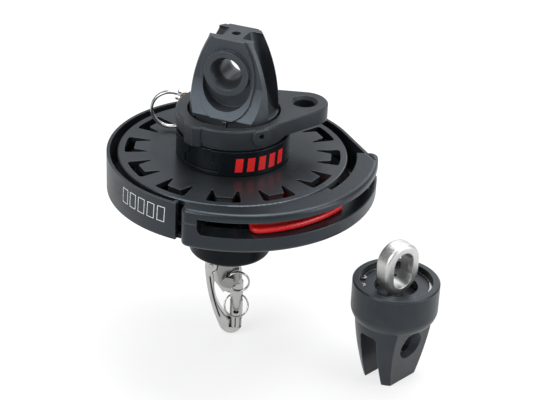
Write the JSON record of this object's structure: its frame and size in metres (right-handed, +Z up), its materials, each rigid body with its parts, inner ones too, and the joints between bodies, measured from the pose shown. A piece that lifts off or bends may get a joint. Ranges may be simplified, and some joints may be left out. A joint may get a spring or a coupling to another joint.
{
  "type": "top down spinnaker furler",
  "caption": "Top-down sail furler: slotted line drum in a bent guard, locking tack swivel ring, cable tower, snap shackle and a separate ball-bearing head swivel.",
  "frame": {"origin": "centre of the tack clevis pin, on the drum's spin axis", "axes": "+Z up along the spin axis, +X towards the tack arm's side, -Y towards the line entry at the front"},
  "size_m": [0.2207, 0.1715, 0.2224],
  "materials": {
    "load_shaft": "stainless steel, polished",
    "shaft_nut": "stainless steel, polished",
    "nut_split_pin": "stainless steel, polished",
    "load_race_upper": "stainless steel, polished",
    "clevis_pin": "stainless steel, polished",
    "lower_hub": "hard black anodised, satin",
    "hub_locknut": "stainless steel, polished",
    "shaft_key": "stainless steel, polished",
    "hub_screws": "stainless steel, polished",
    "radial_race_outer": "stainless steel, polished",
    "guard_plate": "black coated sheet, satin",
    "guard_band": "black coated sheet, satin",
    "band_screws": "stainless steel, polished",
    "feeder_lower": "black moulded plastic",
    "feeder_upper": "black moulded plastic",
    "feeder_screws": "stainless steel, polished",
    "line_guide": "red low friction plastic",
    "upper_flange": "hard black anodised, satin",
    "hub_barrel": "hard black anodised, satin",
    "lower_flange": "hard black anodised, satin",
    "drum_core": "hard black anodised, satin",
    "drum_sleeve": "hard black anodised, satin",
    "drum_screws": "stainless steel, polished",
    "thimble_screws": "stainless steel, polished",
    "hub_collar": "black moulded plastic, satin",
    "collar_tab": "black moulded plastic, satin",
    "cable_thimble": "hard black anodised, satin",
    "load_race_lower": "stainless steel, polished",
    "radial_race_inner": "stainless steel, polished",
    "journal_bush": "white bearing plastic",
    "load_balls": "stainless steel, polished",
    "load_cage": "white bearing plastic",
    "radial_balls": "stainless steel, polished",
    "radial_cage": "white bearing plastic",
    "tack_ring": "hard black anodised, satin",
    "tack_bush": "white bearing plastic",
    "tack_screw": "stainless steel, polished",
    "lock_bush": "bronze, turned",
    "lock_pin": "stainless steel, polished",
    "pull_ring": "stainless steel, polished",
    "shackle_body": "stainless steel, polished",
    "gate_pin": "stainless steel, polished",
    "plunger_spring": "stainless steel, polished",
    "shackle_gate": "stainless steel, polished",
    "plunger": "stainless steel, polished",
    "plunger_ring": "stainless steel, polished",
    "clevis_ring": "stainless steel, polished",
    "head_housing": "hard black anodised, satin",
    "head_race": "stainless steel, polished",
    "head_cover": "grey anodised washer",
    "head_circlip": "stainless steel, polished",
    "head_balls": "stainless steel, polished",
    "head_cage": "white bearing plastic",
    "head_stem": "hard black anodised, satin",
    "head_link": "stainless steel, polished"
  },
  "bodies": {
    "guard": {"load_shaft": "load_shaft", "shaft_nut": "shaft_nut", "nut_split_pin": "nut_split_pin", "load_race_upper": "load_race_upper", "clevis_pin": "clevis_pin", "lower_hub": "lower_hub", "hub_locknut": "hub_locknut", "shaft_key": "shaft_key", "hub_screws": "hub_screws", "radial_race_outer": "radial_race_outer", "guard_plate": "guard_plate", "guard_band": "guard_band", "band_screws": "band_screws", "feeder_lower": "feeder_lower", "feeder_upper": "feeder_upper", "feeder_screws": "feeder_screws", "line_guide": "line_guide"},
    "drum": {"upper_flange": "upper_flange", "hub_barrel": "hub_barrel", "lower_flange": "lower_flange", "drum_core": "drum_core", "drum_sleeve": "drum_sleeve", "drum_screws": "drum_screws", "thimble_screws": "thimble_screws", "hub_collar": "hub_collar", "collar_tab": "collar_tab", "cable_thimble": "cable_thimble", "load_race_lower": "load_race_lower", "radial_race_inner": "radial_race_inner", "journal_bush": "journal_bush"},
    "load_bearing": {"load_balls": "load_balls", "load_cage": "load_cage"},
    "radial_bearing": {"radial_balls": "radial_balls", "radial_cage": "radial_cage"},
    "tack_swivel": {"tack_ring": "tack_ring", "tack_bush": "tack_bush", "tack_screw": "tack_screw", "lock_bush": "lock_bush"},
    "lock": {"lock_pin": "lock_pin"},
    "pull": {"pull_ring": "pull_ring"},
    "shackle": {"shackle_body": "shackle_body", "gate_pin": "gate_pin", "plunger_spring": "plunger_spring"},
    "gate": {"shackle_gate": "shackle_gate"},
    "plunger_pin": {"plunger": "plunger"},
    "plunger_pull": {"plunger_ring": "plunger_ring"},
    "clevis_pull": {"clevis_ring": "clevis_ring"},
    "head_shell": {"head_housing": "head_housing", "head_race": "head_race", "head_cover": "head_cover", "head_circlip": "head_circlip"},
    "head_bearing": {"head_balls": "head_balls", "head_cage": "head_cage"},
    "head_swivel": {"head_stem": "head_stem", "head_link": "head_link"}
  },
  "joints": [
    {"name": "drum_spin", "type": "hinge", "parent": "guard", "child": "drum", "pos_m": [0, 0, 0.08], "axis": [0, 0, 1], "continuous": true},
    {"name": "load_ball_orbit", "type": "hinge", "parent": "guard", "child": "load_bearing", "pos_m": [0, 0, 0.1017], "axis": [0, 0, 1], "continuous": true},
    {"name": "radial_ball_orbit", "type": "hinge", "parent": "guard", "child": "radial_bearing", "pos_m": [0, 0, 0.043], "axis": [0, 0, 1], "continuous": true},
    {"name": "tack_turn", "type": "hinge", "parent": "drum", "child": "tack_swivel", "pos_m": [0, 0, 0.116], "axis": [0, 0, 1], "continuous": true},
    {"name": "lock_slide", "type": "slide", "parent": "tack_swivel", "child": "lock", "axis": [0.8521, -0.5233, 0], "range_m": [0, 0.0016]},
    {"name": "pull_ring_swing", "type": "hinge", "parent": "lock", "child": "pull", "pos_m": [-0.03745, 0.0275, 0.1185], "axis": [0.9127, 0, -0.4086], "range_deg": [0, 40]},
    {"name": "shackle_swing", "type": "hinge", "parent": "guard", "child": "shackle", "pos_m": [0, 0, 0], "axis": [0, 1, 0], "range_deg": [-35, 22]},
    {"name": "gate_swing", "type": "hinge", "parent": "shackle", "child": "gate", "pos_m": [-0.0122, 0, 0.006], "axis": [0, 1, 0], "range_deg": [0, 70]},
    {"name": "plunger_slide", "type": "slide", "parent": "shackle", "child": "plunger_pin", "axis": [0, 0, 1], "range_m": [-0.0022, 0.002], "deforming": ["plunger_spring"]},
    {"name": "plunger_ring_swing", "type": "hinge", "parent": "plunger_pin", "child": "plunger_pull", "pos_m": [0.0057, 0, -0.0167], "axis": [1, 0, 0], "range_deg": [-15, 8]},
    {"name": "clevis_ring_swing", "type": "hinge", "parent": "guard", "child": "clevis_pull", "pos_m": [0, -0.01225, 0], "axis": [0, 0, 1], "range_deg": [-60, 0]},
    {"name": "head_lift", "type": "slide", "parent": "guard", "child": "head_shell", "axis": [0.5, -0.2, 0.8426], "range_m": [0, 0.3]},
    {"name": "head_spin", "type": "hinge", "parent": "head_shell", "child": "head_swivel", "pos_m": [0.11, -0.041, 0.01], "axis": [0, 0, 1], "continuous": true},
    {"name": "head_ball_orbit", "type": "hinge", "parent": "head_shell", "child": "head_bearing", "pos_m": [0.11, -0.041, 0.01], "axis": [0, 0, 1], "continuous": true}
  ],
  "couplings": [
    {"joint": "load_ball_orbit", "follows": "drum_spin", "ratio": 0.5},
    {"joint": "radial_ball_orbit", "follows": "drum_spin", "ratio": 0.428},
    {"joint": "head_ball_orbit", "follows": "head_spin", "ratio": 0.5}
  ]
}
